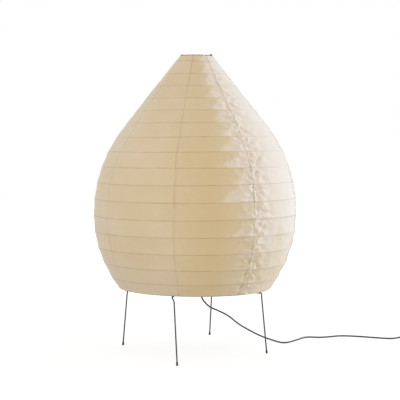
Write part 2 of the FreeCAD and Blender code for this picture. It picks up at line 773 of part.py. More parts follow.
def make_cord():
    make_gland()
    drop = Vec(gland_mouth.x, gland_mouth.y, cord_drop_z)
    route = [gland_mouth, drop] + [Vec(*point) for point in cord_route]
    total = make_cord_run("cord_to_switch", route)
    total += make_cord_run("cord_to_coil", [Vec(*point) for point in lead_route])
    coil_length, centre, finish, way = make_coil()
    total += coil_length + switch_length
    print("whole cord length", round(total, 1))
    make_tie(centre, lead_route[-1][2])
    make_switch()
    make_plug(finish, way)


os.makedirs("parts", exist_ok=True)
make_gores()
make_hoops()
make_rings()
make_stand()
make_hub()
make_bracket()
make_posts()
make_holder()
make_bulb()
make_cord()
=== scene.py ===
"""Paper lantern floor lamp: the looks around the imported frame, in metres, +Z up, front towards -Y."""
import json
import math

import bpy
import numpy as np
from mathutils import Matrix, Vector

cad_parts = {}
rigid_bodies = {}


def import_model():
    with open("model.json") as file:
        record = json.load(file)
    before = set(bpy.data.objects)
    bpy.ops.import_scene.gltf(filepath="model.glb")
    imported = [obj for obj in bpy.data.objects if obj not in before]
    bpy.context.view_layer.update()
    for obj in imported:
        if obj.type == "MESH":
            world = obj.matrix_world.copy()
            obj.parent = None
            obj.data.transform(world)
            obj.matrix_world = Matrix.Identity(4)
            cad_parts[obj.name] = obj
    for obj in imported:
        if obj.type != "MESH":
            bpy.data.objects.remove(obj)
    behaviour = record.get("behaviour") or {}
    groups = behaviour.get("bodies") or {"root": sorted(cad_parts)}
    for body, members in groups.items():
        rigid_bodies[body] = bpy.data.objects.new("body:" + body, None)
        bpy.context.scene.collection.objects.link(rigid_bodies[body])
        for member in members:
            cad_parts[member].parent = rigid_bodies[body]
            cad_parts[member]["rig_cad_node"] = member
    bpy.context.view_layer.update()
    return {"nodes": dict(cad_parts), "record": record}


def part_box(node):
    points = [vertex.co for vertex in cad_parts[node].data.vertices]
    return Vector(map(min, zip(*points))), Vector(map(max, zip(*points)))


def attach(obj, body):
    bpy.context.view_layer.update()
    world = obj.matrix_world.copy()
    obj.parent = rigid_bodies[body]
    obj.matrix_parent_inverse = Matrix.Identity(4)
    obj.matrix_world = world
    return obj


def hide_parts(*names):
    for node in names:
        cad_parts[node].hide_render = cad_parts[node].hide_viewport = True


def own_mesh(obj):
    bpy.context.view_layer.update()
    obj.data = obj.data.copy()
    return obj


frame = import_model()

MM = 0.001
NODES = frame["nodes"]
RECORD = frame["record"]
SEED = 41

# ---- the paper's sizes ----------------------------------------------------
GORE_COUNT = 8
GORE_SPAN = 360.0 / GORE_COUNT
SEAM_AZIMUTH = -99.8         # azimuth of the first seam, in degrees
SEAM_STRAY = (0.22, 0.16)    # how far a seam's long and short wave stray from it, in degrees
SEAM_WAVES = (1.3, 2.9)      # how far those waves turn from one hoop to the next, in radians
SEAM_PHASE = 1.7             # and from one seam to the next
LAP_DEG = 1.4                # width of a seam's lap
PAPER_T = 0.6 * MM
GLUE_T = 0.15 * MM
HOOP_PAPER_GAP = 0.3 * MM
RING_SHOWS = 1.2 * MM        # how far the top ring stands out past the paper's edge
LOW_RING_SHOWS = 0.3 * MM    # and the bottom ring
HOOP_TILT = 0.0155           # rise of the hoops towards +X, half way down the shade
LONG_WAVE = 1.1 * MM         # how far a hoop strays up or down in its one wave round the shade
SHORT_WAVE = 0.7 * MM        # and in its three shorter ones
WAVE_START = 6.28            # the latest start of these waves, in radians

# ---- how the paper is drawn in between its hoops --------------------------
DRAWN_IN = 0.7 * MM          # how far it is drawn in half way
DRAWN_SPREAD = 0.25          # how much that differs from band to band, as a share
DRAWN_WAVE = 0.10            # and in each wave round a band
DRAWN_WAVES = 5
DRAWN_START = 6.0            # turns a drawn number near 1 into a wave's start, in radians
DRAWN_LIMITS = (0.35, 1.6)
FULL_RADIUS = 0.30           # where the shade is narrower, the paper is drawn in and crumpled less
LEAST_FULL = 0.25
SLACK_AZIMUTH = -25.0        # where the paper is drawn in most, low on the right
SLACK_ROW = 12.0
SLACK_ROWS = 4.5             # rows over which the slack fades
SLACK_NARROW = 1.5           # how fast it fades round the shade
SLACK_DEPTH = 2.2            # how much deeper it is, in parts of DRAWN_IN
PUCKER_AZIMUTH = -62.0       # the paper is drawn in here too, along its most crumpled seam
PUCKER_WIDTH = 16.0
PUCKER_DEPTH = 2.4

# ---- how the paper is crumpled along its seams ----------------------------
CRUMPLE_REACH = 62.0 * MM    # how far the crumpled paper reaches from a seam
SEAM_CRUMPLE = (0.28, 1.0, 0.40, 0.45, 0.55, 0.40, 0.30, 0.16)   # how crumpled each seam is
FOLDS_IN_QUARTER = 3
FOLD_FAN = 1.25              # angle that the folds of one quarter fan over, in radians
FOLD_PLACE = (0.2, 0.8)      # where a fold lies in its own part of the fan
FOLD_SPREAD = (0.14, 0.30)   # half of a fold's own angle, in radians
FOLD_REACH = (34.0, 88.0)    # in mm
FOLD_WIDEST = 0.7            # the longest reach, as a share of a sheet's width
FOLD_HEIGHT = (1.2, 3.4)     # in mm
FOLD_START = (0.0, 0.45)     # how far from its hoop a fold begins, in rows
FOLD_LEAN = 0.7              # under 1, a fold is highest near its start
FACET_SIZE = 22.0 * MM       # across a facet of the crumpled paper
FACET_SLOPE = 0.30
FACET_SQUASH = 1.7           # facets are this much wider than high
FACET_LEVEL = 0.4            # how far from a facet's middle it crosses the plain paper
FACET_FIELD = 1.5            # facets are laid out this far from a seam, in parts of CRUMPLE_REACH
FACET_END = 1.4              # and end here
FACET_FADE = 12.0 * MM       # how far before the next seam's facets they fade

# ---- the paper's looks ----------------------------------------------------
# painted light: the paper is painted paler and cooler towards the lit right side of the shade, sooner at
# each band's foot, which faces up to the light
PALE_EDGES = np.array((-75, -75, -74, -73, -70, -71, -68, -69, -70, -65, -72, -60,
                       -66, -58, -55, -48, -30))   # azimuth where each band's paper turns pale
PALE_FADE = 12.0             # degrees over which the pale paper begins
PALE_SLANT = 13.0            # how much sooner it begins at a band's foot than at its head, in degrees
PALE_END = 20.0              # azimuth where it ends
PALE_LAST_ROW = 16.3
PALE_LAST_FADE = 4.5         # rows over which it fades before the last
# painted light: the paper is painted more golden at the front middle and lower down, where warm light shows
# through it
GOLDEN_AZIMUTH = -81.0       # where the paper is most golden
GOLDEN_WIDTH = 17.0
GOLDEN_ROW = 12.0            # where it is golden in full
GOLDEN_LEAST = 0.08          # how golden it is at the top
GOLDEN_ASIDE = 0.7           # and on all sheets but the first
# the facets' painted highlights fade over these rows at the foot
TONE_ROWS = 4.0              # the facets' tone fades over so many rows at the foot
TONE_LEAST = 0.2
SEAM_LINE = (1.0, 1.3, 0.8, 0.8, 0.8, 0.8, 0.6, 0.35)            # how clearly each seam shows
SIDE_LOSS = 0.7              # how much fainter the hoops' lines are at the sides of the shade
SIDE_CURVE = 0.8
PALE_LOSS = 0.45             # and on pale paper
LOWER_FROM = 0.45            # how far down the shade they start to be clearer again
LOWER_OVER = 0.25
LOWER_GAIN = 0.7

# ---- the paper's mesh -----------------------------------------------------
PAPER_ROW_STEPS = (0.0, 0.02, 0.05, 0.1, 0.17, 0.25, 0.33, 0.42, 0.5,
                   0.58, 0.67, 0.75, 0.83, 0.9, 0.95, 0.98)
PAPER_COLUMNS = 72
COLUMNS_GATHER = 0.6         # how much closer the columns stand at the seams than half way
LAP_COLUMNS = 3
EDGE_ROWS = 8                # rows of points at the paper's top and bottom edge, where no hoop lies
NO_HOOP = 4.0 * MM           # the least distance from a hoop that is told there
PAPER_SHARP = 15.0           # folds sharper than this angle stay crisp, in degrees

# ---- the hoops' sizes, their thickness in parts of half the cane's height -
HOOP_STEPS = 288
HOOP_SIDES = 12
HOOP_SHARP = 60.0            # in degrees
CORNER_POWER = 0.6           # under 1, a strip's section is squarer than an ellipse
STRIP_OUT = 0.95             # how far a strip reaches outwards from the hoop's circle
STRIP_IN = 0.5               # and inwards
STRIP_HIGH = 0.9
HOOP_OVERLAP = 22.0 * MM     # half the length over which a hoop's two ends overlap
OVERLAP_FADE = 5 * MM
OVERLAP_SWELL = 0.8
KNUCKLE_PITCH = 190.0 * MM
KNUCKLE_SHIFT = 0.2          # how far a knuckle may stray, in parts of the pitch
KNUCKLE_LENGTH = 1.6 * MM
KNUCKLE_SWELL = 0.35
KNUCKLE_HIGH = 0.1

# ---- the cord's sizes, in metres ------------------------------------------
CORD_R = 2.5 * MM
COIL_OUTER_R = 39.1 * MM
COIL_PITCH = 6.4 * MM
COIL_TURNS_IN = 3
COIL_LAYER = 5.6 * MM
COIL_POINTS = 24             # control points in one turn
CORD_STUB = 5.0 * MM
CORD_ROUTE = (
    (0.02135, 0.00532, 0.1902), (0.02135, 0.00532, 0.1735), (0.0255, 0.007, 0.157),
    (0.0465, 0.016, 0.1325), (0.079, 0.030, 0.118), (0.1115, 0.044, 0.100), (0.1415, 0.0565, 0.0725),
    (0.1765, 0.0735, 0.0505), (0.213, 0.087, 0.030), (0.249, 0.102, 0.015), (0.284, 0.116, 0.00255),
    (0.306, 0.1225, 0.00255), (0.323, 0.148, 0.00255), (0.345, 0.185, 0.00255), (0.368, 0.229, 0.00255),
    (0.392, 0.238, 0.00255), (0.415, 0.228, 0.00255), (0.448, 0.2395, 0.00255), (0.492, 0.270, 0.00255),
    (0.552, 0.259, 0.00255), (0.614, 0.231, 0.00255), (0.664, 0.2145, 0.00255), (0.690, 0.214, 0.009),
    (0.712, 0.214, 0.009), (0.742, 0.214, 0.009), (0.772, 0.214, 0.009), (0.784, 0.214, 0.009),
    (0.806, 0.214, 0.00365), (0.820, 0.214, 0.00365),
)

# ---- light, camera and floor ----------------------------------------------
ROOM_FRONT = (0.62, 0.51, 0.35)          # colour of the room in front of the lamp
ROOM_BACK = (0.82, 0.85, 0.93)           # and behind it
LAMP_MIDDLE = (0.0, 0.0, 0.5)            # what the lights point at
CAMERA_PLACE = (0.0154, -3.930, 0.690)
CAMERA_LENS = 112.5
CAMERA_DOWN = 3.16                       # how far the camera looks down, in degrees
CAMERA_ROLL = 0.5                        # the photographed lamp leans by this
FLOOR_HALF = 8


# ---- materials ------------------------------------------------------------
class Painter:
    """Builds one procedural material round a single principled shader."""

    def __init__(self, name):
        self.material = bpy.data.materials.new(name)
        self.material.use_nodes = True
        self.nodes = self.material.node_tree.nodes
        self.links = self.material.node_tree.links
        self.shader = self.nodes["Principled BSDF"]
        self.bump_out = None

    def node(self, kind, **settings):
        made = self.nodes.new(kind)
        for key, value in settings.items():
            setattr(made, key, value)
        return made

    def feed(self, socket, value):
        if hasattr(value, "is_output"):
            self.links.new(value, socket)
        else:
            socket.default_value = value

    def place(self, name=None):
        """Rest position of the surface, from an attribute or from the object itself."""
        if name:
            return self.node("ShaderNodeAttribute", attribute_name=name).outputs["Vector"]
        return self.node("ShaderNodeTexCoord").outputs["Object"]

    def number(self, name):
        return self.node("ShaderNodeAttribute", attribute_name=name).outputs["Fac"]

    def stretch(self, vector, scale, turn=(0.0, 0.0, 0.0)):
        mapping = self.node("ShaderNodeMapping")
        self.feed(mapping.inputs["Vector"], vector)
        mapping.inputs["Scale"].default_value = scale
        mapping.inputs["Rotation"].default_value = turn
        return mapping.outputs["Vector"]

    def noise(self, vector, scale, detail=3.0, rough=0.5, distortion=0.0):
        made = self.node("ShaderNodeTexNoise")
        self.feed(made.inputs["Vector"], vector)
        made.inputs["Scale"].default_value = scale
        made.inputs["Detail"].default_value = detail
        made.inputs["Roughness"].default_value = rough
        made.inputs["Distortion"].default_value = distortion
        return made.outputs["Fac"]

    def voronoi(self, vector, scale):
        """Distance from the middle of a cell."""
        made = self.node("ShaderNodeTexVoronoi")
        self.feed(made.inputs["Vector"], vector)
        made.inputs["Scale"].default_value = scale
        return made.outputs["Distance"]

    def span(self, value, low, high, out_low=0.0, out_high=1.0):
        """Maps low..high to out_low..out_high, held at both ends."""
        made = self.node("ShaderNodeMapRange", clamp=True)
        self.feed(made.inputs["Value"], value)
        made.inputs["From Min"].default_value = low
        made.inputs["From Max"].default_value = high
        made.inputs["To Min"].default_value = out_low
        made.inputs["To Max"].default_value = out_high
        return made.outputs["Result"]

    def math(self, operation, one, two=0.0):
        made = self.node("ShaderNodeMath", operation=operation)
        self.feed(made.inputs[0], one)
        self.feed(made.inputs[1], two)
        return made.outputs[0]

    def mix(self, share, one, two, blend="MIX"):
        made = self.node("ShaderNodeMix", data_type="RGBA", blend_type=blend)
        self.feed(made.inputs[0], share)
        self.feed(made.inputs[6], one)
        self.feed(made.inputs[7], two)
        return made.outputs[2]

    def bump(self, height, depth, strength=1.0):
        """Adds a bump of a real depth, on top of any earlier one."""
        made = self.node("ShaderNodeBump")
        self.feed(made.inputs["Height"], height)
        made.inputs["Distance"].default_value = depth
        made.inputs["Strength"].default_value = strength
        if self.bump_out:
            self.links.new(self.bump_out, made.inputs["Normal"])
        self.bump_out = made.outputs["Normal"]
        self.links.new(self.bump_out, self.shader.inputs["Normal"])

    def set(self, **values):
        for key, value in values.items():
            self.feed(self.shader.inputs[key.replace("_", " ")], value)


def rgb(red, green, blue):
    return (red, green, blue, 1.0)


def paper_material():
    paint = Painter("paper")
    rest = paint.place("rest")
    cream = rgb(0.765, 0.680, 0.535)
    warm = rgb(0.735, 0.632, 0.450)
    pale = rgb(0.800, 0.735, 0.630)
    painted_glow = rgb(0.740, 0.610, 0.385)
    # painted light: the colour of the paper where the light falls, also used for the facets' painted
    # highlights
    painted_light_colour = rgb(0.830, 0.782, 0.760)
    line = rgb(0.430, 0.325, 0.175)
    cloud = paint.noise(rest, 7.0, 4.0, 0.55)
    colour = paint.mix(paint.span(cloud, 0.35, 0.65), cream, warm)
    tone = paint.number("panel_tone")
    colour = paint.mix(paint.span(tone, 0.0, 1.0, 0.0, 0.35), colour, pale)
    # painted light: a warm golden glow of light through the paper
    colour = paint.mix(paint.math("MULTIPLY", paint.number("painted_glow"), 0.85), colour, painted_glow)
    # painted light: a ragged edge, past which the paper is painted paler towards the lit right side
    ragged = paint.noise(rest, 24.0, 4.0, 0.62, 0.8)
    edge = paint.math("ADD", paint.number("painted_light_part"), paint.span(ragged, 0.3, 0.7, -0.35, 0.35))
    colour = paint.mix(paint.span(edge, 0.38, 0.85, 0.0, 0.72), colour, painted_light_colour)
    # painted highlights: crumpled facets near the seams are painted in the lit colour, as where crinkles
    # catch the light
    painted_crease_highlight = paint.span(paint.number("facet_highlight"), 0.3, 0.8, 0.0, 0.7)
    colour = paint.mix(painted_crease_highlight, colour, painted_light_colour)
    long_fibre = paint.noise(paint.stretch(rest, (1.0, 1.0, 9.0), (0.5, 0.9, 0.2)), 150.0, 2.0, 0.6, 1.6)
    cross_fibre = paint.noise(paint.stretch(rest, (9.0, 1.0, 1.0), (0.2, 0.3, 0.8)), 130.0, 2.0, 0.6, 1.8)
    fibre = paint.math("MAXIMUM", paint.span(long_fibre, 0.62, 0.74), paint.span(cross_fibre, 0.62, 0.74))
    colour = paint.mix(paint.math("MULTIPLY", fibre, 0.22), colour, pale)
    fleck = paint.span(paint.voronoi(rest, 55.0), 0.0, 0.05, 0.3, 0.0)
    colour = paint.mix(fleck, colour, line)
    lap = paint.number("lap")
    colour = paint.mix(paint.math("MULTIPLY", lap, 0.06), colour, line)
    shown = paint.number("shown")
    waver = paint.math("MULTIPLY", paint.span(paint.noise(rest, 30.0, 2.0), 0.3, 0.7, 0.45, 1.0), shown)
    hoop = paint.span(paint.number("hoop_gap"), 0.4 * MM, 1.8 * MM, 0.78, 0.0)
    colour = paint.mix(paint.math("MULTIPLY", hoop, waver), colour, line)
    seam = paint.span(paint.number("seam_gap"), 0.5 * MM, 1.7 * MM, 0.78, 0.0)
    patchy = paint.span(paint.noise(rest, 20.0, 3.0), 0.38, 0.6, 0.25, 1.0)
    seam_shown = paint.math("MULTIPLY", patchy, paint.number("seam_shown"))
    colour = paint.mix(paint.math("MULTIPLY", seam, seam_shown), colour, line)
    # painted shade: a dark strip along the paper's top and bottom edges stands in for the wire rings lying
    # in shade
    painted_rim_shade = paint.span(paint.number("edge_gap"), 0.8 * MM, 3.0 * MM, 0.75, 0.0)
    colour = paint.mix(painted_rim_shade, colour, rgb(0.13, 0.10, 0.08))
    paint.set(Base_Color=colour, Roughness=0.74)
    paint.set(Sheen_Weight=0.38, Sheen_Roughness=0.45, Sheen_Tint=rgb(1.0, 1.0, 1.0))
    paint.shader.inputs["Specular IOR Level"].default_value = 0.4
    paint.bump(paint.noise(rest, 55.0, 3.0, 0.5, 0.6), 0.9 * MM, 0.5)
    paint.bump(paint.noise(rest, 420.0, 3.0, 0.6), 0.12 * MM, 0.6)
    paint.bump(fibre, 0.08 * MM, 0.6)
    return paint.material


def bamboo_material():
    paint = Painter("bamboo")
    place = paint.place()
    grain = paint.noise(paint.stretch(place, (1.0, 1.0, 14.0)), 160.0, 4.0, 0.6)
    colour = paint.mix(paint.span(grain, 0.3, 0.7), rgb(0.46, 0.33, 0.17), rgb(0.64, 0.50, 0.30))
    paint.set(Base_Color=colour, Roughness=paint.span(grain, 0.3, 0.7, 0.42, 0.62))
    paint.bump(grain, 0.1 * MM, 0.6)
    return paint.material


def lacquer_material():
    """Dark lacquered wire, with worn and dusty places."""
    paint = Painter("wire_dark")
    place = paint.place()
    wear = paint.noise(place, 90.0, 5.0, 0.6)
    fine = paint.noise(place, 900.0, 2.0, 0.5)
    colour = paint.mix(paint.span(wear, 0.45, 0.75), rgb(0.030, 0.031, 0.034), rgb(0.075, 0.076, 0.080))
    paint.set(Base_Color=colour, Roughness=paint.span(wear, 0.3, 0.7, 0.32, 0.5))
    paint.set(Metallic=0.35, Coat_Weight=0.3, Coat_Roughness=0.25)
    paint.bump(fine, 0.04 * MM, 0.5)
    return paint.material


def metal_material(name, dark, light, rough_low, rough_high, scale):
    """Turned metal: fine rings along Z, and faint stains."""
    paint = Painter(name)
    place = paint.place()
    rings = paint.noise(paint.stretch(place, (0.05, 0.05, 12.0)), scale, 3.0, 0.6)
    stain = paint.noise(place, 60.0, 4.0, 0.6)
    colour = paint.mix(paint.span(stain, 0.35, 0.7), light, dark)
    paint.set(Base_Color=colour, Metallic=1.0)
    paint.set(Roughness=paint.span(rings, 0.3, 0.7, rough_low, rough_high))
    paint.bump(rings, 0.03 * MM, 0.5)
    return paint.material


def moulded_material(name, dark, light, rough_low, rough_high, grain_scale, coat=0.0):
    """Moulded plastic or rubber: fine spark grain, and dust in random patches."""
    paint = Painter(name)
    place = paint.place()
    grain = paint.noise(place, grain_scale, 3.0, 0.6)
    dust = paint.noise(place, 35.0, 4.0, 0.55)
    colour = paint.mix(paint.span(dust, 0.4, 0.75), dark, light)
    paint.set(Base_Color=colour, Roughness=paint.span(dust, 0.3, 0.7, rough_low, rough_high))
    paint.set(Coat_Weight=coat)
    paint.bump(grain, 0.05 * MM, 0.6)
    return paint.material


def cord_material():
    """Extruded sheath with the faint lay of its cores under it."""
    paint = Painter("cord")
    place = paint.place()
    lay = paint.noise(place, 220.0, 2.0, 0.5)
    scuff = paint.noise(place, 45.0, 5.0, 0.6)
    colour = paint.mix(paint.span(scuff, 0.45, 0.75), rgb(0.016, 0.016, 0.018), rgb(0.045, 0.045, 0.048))
    paint.set(Base_Color=colour, Roughness=paint.span(scuff, 0.3, 0.7, 0.4, 0.58))
    paint.bump(lay, 0.08 * MM, 0.5)
    return paint.material


def diffuser_material():
    """Opal bulb: a milky skin with faint flow marks."""
    paint = Painter("diffuser")
    place = paint.place()
    milk = paint.noise(place, 30.0, 3.0, 0.5)
    colour = paint.mix(paint.span(milk, 0.35, 0.65), rgb(0.80, 0.80, 0.78), rgb(0.86, 0.86, 0.85))
    paint.set(Base_Color=colour, Roughness=paint.span(milk, 0.3, 0.7, 0.25, 0.34))
    paint.set(Coat_Weight=0.2, Coat_Roughness=0.15)
    paint.bump(paint.noise(place, 260.0, 2.0, 0.5), 0.03 * MM, 0.4)
    return paint.material


def make_materials():
    return {
        "paper": paper_material(),
        "bamboo": bamboo_material(),
        "wire_dark": lacquer_material(),
        "steel": metal_material("steel", rgb(0.36, 0.36, 0.37), rgb(0.60, 0.60, 0.61), 0.26, 0.42, 300.0),
        "brass": metal_material("brass", rgb(0.46, 0.31, 0.12), rgb(0.74, 0.55, 0.24), 0.24, 0.40, 260.0),
        "rubber": moulded_material("rubber", rgb(0.014, 0.014, 0.015), rgb(0.040, 0.039, 0.038),
                                   0.70, 0.86, 700.0),
        "black_plastic": moulded_material("black_plastic", rgb(0.018, 0.018, 0.020),
                                          rgb(0.036, 0.036, 0.038), 0.42, 0.56, 1100.0),
        "rocker": moulded_material("rocker", rgb(0.022, 0.022, 0.024), rgb(0.034, 0.034, 0.036),
                                   0.26, 0.36, 1400.0, 0.3),
        "white_plastic": moulded_material("white_plastic", rgb(0.74, 0.73, 0.70), rgb(0.66, 0.645, 0.61),
                                          0.36, 0.50, 900.0),
        "porcelain": moulded_material("porcelain", rgb(0.76, 0.74, 0.70), rgb(0.66, 0.64, 0.60),
                                      0.18, 0.30, 300.0, 0.5),
        "diffuser": diffuser_material(),
        "cord": cord_material(),
        "tie": moulded_material("tie", rgb(0.020, 0.020, 0.022), rgb(0.055, 0.055, 0.058),
                                0.66, 0.84, 1600.0),
    }


MATERIALS = make_materials()


def wear(obj, slot_name):
    """Gives the piece the material of a slot of the record."""
    obj.data.materials.clear()
    obj.data.materials.append(MATERIALS[slot_name])


def smooth(obj, angle=35.0):
    """Rounds the shading of a carried-over node between its real edges."""
    obj.data.shade_smooth()
    obj.data.set_sharp_from_angle(angle=math.radians(angle))


# ---- the paper's surface --------------------------------------------------
def facet_cosine(upper, lower):
    """Cosine of a facet's slope from the vertical, between two points of the outline."""
    down = upper[1] - lower[1]
    return down / math.hypot(lower[0] - upper[0], down)


def hoop_boxes():
    """Each hoop's name with its lowest and highest corner, from the top down."""
    names = sorted(name for name in NODES if name.startswith("hoop_"))
    return [(name, *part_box(name)) for name in names]


def hoop_outline():
    """(radius, height) of the paper at its top edge, at each hoop and at its bottom edge."""
    boxes = hoop_boxes()
    wire_r = (boxes[0][2].z - boxes[0][1].z) / 2
    low_ring_low, low_ring_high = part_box("bottom_ring")
    bottom = (low_ring_high.x + HOOP_PAPER_GAP + PAPER_T, low_ring_low.z + LOW_RING_SHOWS)
    top_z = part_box("top_ring")[1].z - RING_SHOWS
    cosines = [1.0] * len(boxes)
    for _ in range(3):      # the facets' slopes settle after three rounds
        rows = [(high.x - wire_r + PAPER_T + (HOOP_PAPER_GAP + wire_r) / cosine, (low.z + high.z) / 2)
                for (_, low, high), cosine in zip(boxes, cosines)]
        (first_r, first_z), (second_r, second_z) = rows[0], rows[1]
        top = (first_r + (second_r - first_r) * (top_z - first_z) / (second_z - first_z), top_z)
        outline = [top] + rows + [bottom]
        cosines = [min(facet_cosine(above, here), facet_cosine(here, below))
                   for above, here, below in zip(outline, rows, outline[2:])]
    return np.array(outline)


OUTLINE = hoop_outline()
OUTLINE_RUN = np.concatenate([[0.0], np.cumsum(np.hypot(*np.diff(OUTLINE, axis=0).T))])
BANDS = len(OUTLINE) - 1
SHADE_TOP = float(OUTLINE[0, 1])
SHADE_LOW = float(OUTLINE[-1, 1])


def band_of(row):
    """The band, between two hoops, that each place of an array of rows lies in."""
    return np.clip(row.astype(int), 0, BANDS - 1)


def wrapped(azimuth):
    """The same azimuth between -180 and 180 degrees."""
    return (azimuth + 180.0) % 360.0 - 180.0


def seam_wander(seam, row):
    """How far a seam strays from its azimuth, in degrees, at a place down the rows."""
    phase = SEAM_PHASE * (seam % GORE_COUNT)
    free = np.clip(row, 0.0, 1.0)
    long_wave = SEAM_STRAY[0] * np.sin(SEAM_WAVES[0] * row + phase)
    short_wave = SEAM_STRAY[1] * np.sin(SEAM_WAVES[1] * row + 2.2 * phase)
    return free * (long_wave + short_wave)


def make_folds():
    """For each seam, the folds that fan out where it crosses a hoop:
    (row, side, down, angle, spread, reach, height, start), the angle counted from the hoop,
    and the start down or up the seam, in rows."""
    draw = np.random.default_rng(SEED)
    folds = []
    for seam in range(GORE_COUNT):
        here = []
        for row in range(1, BANDS):
            narrower = min(OUTLINE[row - 1, 0], OUTLINE[row, 0])
            widest = FOLD_WIDEST * math.radians(GORE_SPAN) * narrower
            for side in (-1.0, 1.0):
                for down in (-1.0, 1.0):
                    sign = draw.choice((-1.0, 1.0))
                    for step in range(FOLDS_IN_QUARTER):
                        here.append((
                            row, side, down,
                            (step + draw.uniform(*FOLD_PLACE)) * FOLD_FAN / FOLDS_IN_QUARTER,
                            draw.uniform(*FOLD_SPREAD),
                            min(draw.uniform(*FOLD_REACH) * MM, widest),
                            sign * draw.uniform(*FOLD_HEIGHT) * MM * SEAM_CRUMPLE[seam],
                            draw.uniform(*FOLD_START),
                        ))
                        sign = -sign
        folds.append(here)
    return folds


def make_facets(seam):
    """Middles of the facets that the paper crumples into along a seam, and the tone of each one's painted
    highlight: (across, down, tone).
    """
    draw = np.random.default_rng(SEED + 60 + seam)
    half_width = FACET_FIELD * CRUMPLE_REACH
    count = int(OUTLINE_RUN[-1] * 2 * half_width / FACET_SIZE ** 2)
    return (draw.uniform(-half_width, half_width, count), draw.uniform(0.0, OUTLINE_RUN[-1], count),
            draw.uniform(0.0, 1.0, count))


FOLDS = make_folds()
FACETS = [make_facets(seam) for seam in range(GORE_COUNT)]
BAND_DRAW = np.random.default_rng(SEED + 1).uniform(
    1.0 - DRAWN_SPREAD, 1.0 + DRAWN_SPREAD, (BANDS, 2 * (DRAWN_WAVES + 1)))
HOOP_WAVES = np.random.default_rng(SEED + 5).uniform(
    (-LONG_WAVE, -SHORT_WAVE, 0.0, 0.0), (LONG_WAVE, SHORT_WAVE, WAVE_START, WAVE_START), (BANDS + 1, 4))
HOOP_WAVES[[0, BANDS], :2] = 0.0     # the paper's edges lie on the wire rings


def fold_heights(seam, aside, row, length):
    """Height of the folds along a seam, for arrays of places beside it in bands of some length."""
    heights = np.zeros_like(aside)
    for at, side, down, angle, spread, reach, tall, start in FOLDS[seam]:
        across = aside * side
        along = ((row - at) * down - start) * length
        near = (across > 0.0) & (along > 0.0) & (across < reach) & (along < reach)
        if not near.any():
            continue
        out = np.clip(np.hypot(across[near], along[near]) / reach, 0.0, 1.0) ** FOLD_LEAN
        off = np.abs(np.arctan2(along[near], across[near]) - angle) / spread
        heights[near] += tall * 4.0 * out * (1.0 - out) * np.clip(1.0 - off, 0.0, 1.0)
    return heights


def crumple_facets(seam, across, down, radius):
    """Height and painted highlight of the crumpled facets near a seam, for arrays of places on the paper.
    """
    height = np.zeros_like(across)
    tone = np.zeros_like(across)
    widest = 0.5 * math.radians(GORE_SPAN) * radius
    near = np.abs(across) < np.minimum(widest, FACET_END * CRUMPLE_REACH)
    if not near.any():
        return height, tone
    middle_across, middle_down, tones = FACETS[seam]
    gaps = np.hypot(across[near][:, None] - middle_across,
                    (down[near][:, None] - middle_down) * FACET_SQUASH)
    nearest = gaps.argmin(axis=1)
    strength = SEAM_CRUMPLE[seam] * np.exp(-(across[near] / CRUMPLE_REACH) ** 2)
    strength = strength * np.clip((widest[near] - np.abs(across[near])) / FACET_FADE, 0.0, 1.0)
    height[near] = FACET_SLOPE * (gaps.min(axis=1) - FACET_LEVEL * FACET_SIZE) * strength
    tone[near] = tones[nearest] * strength
    return height, tone


def band_draw(azimuth, band):
    """How far the paper is drawn in between two hoops, as a share, round the shade."""
    draws = BAND_DRAW[band]
    angle = np.radians(azimuth)
    total = np.full_like(azimuth, draws[0])
    for index in range(1, DRAWN_WAVES + 1):
        height = DRAWN_WAVE * (draws[index] - 1.0) / DRAWN_SPREAD
        start = DRAWN_START * draws[index + DRAWN_WAVES + 1]
        total = total + height * np.sin(index * 2 * angle + start)
    return np.clip(total, *DRAWN_LIMITS)


def paper_inset(azimuth, row):
    """How far the paper is drawn in half way between the hoops of a place's band."""
    band = band_of(row)
    hollow = np.zeros_like(azimuth)
    for index in range(BANDS):
        here = band == index
        hollow[here] = band_draw(azimuth[here], index)
    turn = np.radians(azimuth - SLACK_AZIMUTH)
    slack = np.exp(np.cos(turn) * SLACK_NARROW - SLACK_NARROW)
    slack = slack * np.exp(-((row - SLACK_ROW) / SLACK_ROWS) ** 2)
    pucker = np.exp(-(wrapped(azimuth - PUCKER_AZIMUTH) / PUCKER_WIDTH) ** 2)
    return DRAWN_IN * (hollow + SLACK_DEPTH * slack + PUCKER_DEPTH * pucker)


def wave_at(row, azimuth):
    """How far a hoop strays up or down, at a place down the rows; the paper follows between the hoops."""
    above = np.clip(np.floor(row).astype(int), 0, BANDS)
    below = np.clip(above + 1, 0, BANDS)
    share = row - above
    angle = np.radians(azimuth)
    waves = []
    for index in (above, below):
        first, second, turn_first, turn_second = np.moveaxis(HOOP_WAVES[index], -1, 0)
        waves.append(first * np.sin(angle + turn_first) + second * np.sin(3.0 * angle + turn_second))
    return waves[0] * (1.0 - share) + waves[1] * share


def tilt_at(height):
    """Rise of the paper and its hoops towards +X, at a height: none at the two wire rings."""
    return HOOP_TILT * np.sin(np.pi * np.clip((SHADE_TOP - height) / (SHADE_TOP - SHADE_LOW), 0.0, 1.0))


